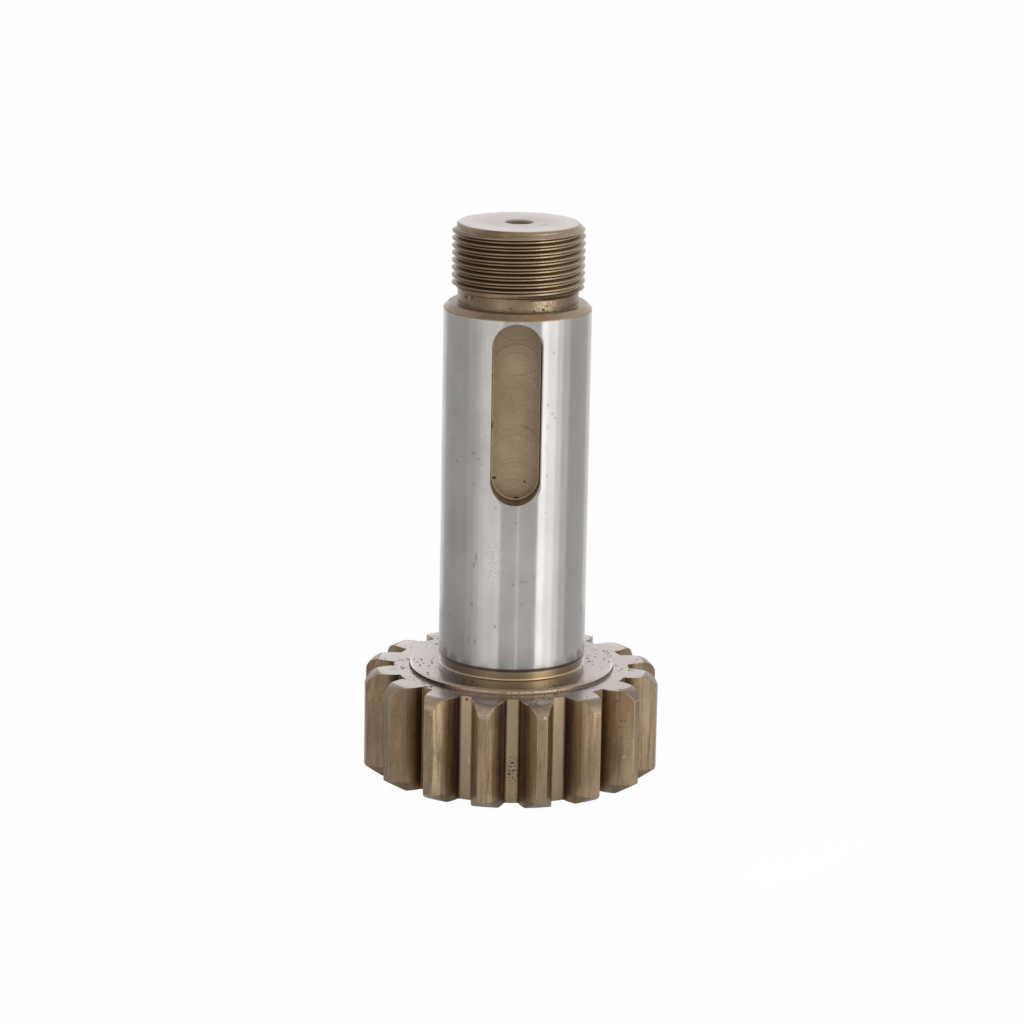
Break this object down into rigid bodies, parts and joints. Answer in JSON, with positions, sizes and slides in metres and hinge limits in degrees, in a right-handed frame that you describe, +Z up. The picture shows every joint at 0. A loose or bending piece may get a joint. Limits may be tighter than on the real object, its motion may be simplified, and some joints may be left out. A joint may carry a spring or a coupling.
{
  "type": "pinion shaft",
  "caption": "One-piece steel pinion shaft: spur pinion with bevelled teeth, boss, ground journal with a round-ended keyway, relief and threaded end with a centre hole.",
  "frame": {"origin": "centre of the pinion's lower face, on which the part stands", "axes": "+Z up the shaft's axis towards the threaded end, -Y out of the keyway"},
  "size_m": [0.0802, 0.0802, 0.1522],
  "materials": {
    "steel": "ground journal, oil-browned pinion and thread"
  },
  "bodies": {
    "root": {"pinion_shaft": "steel"}
  },
  "joints": []
}
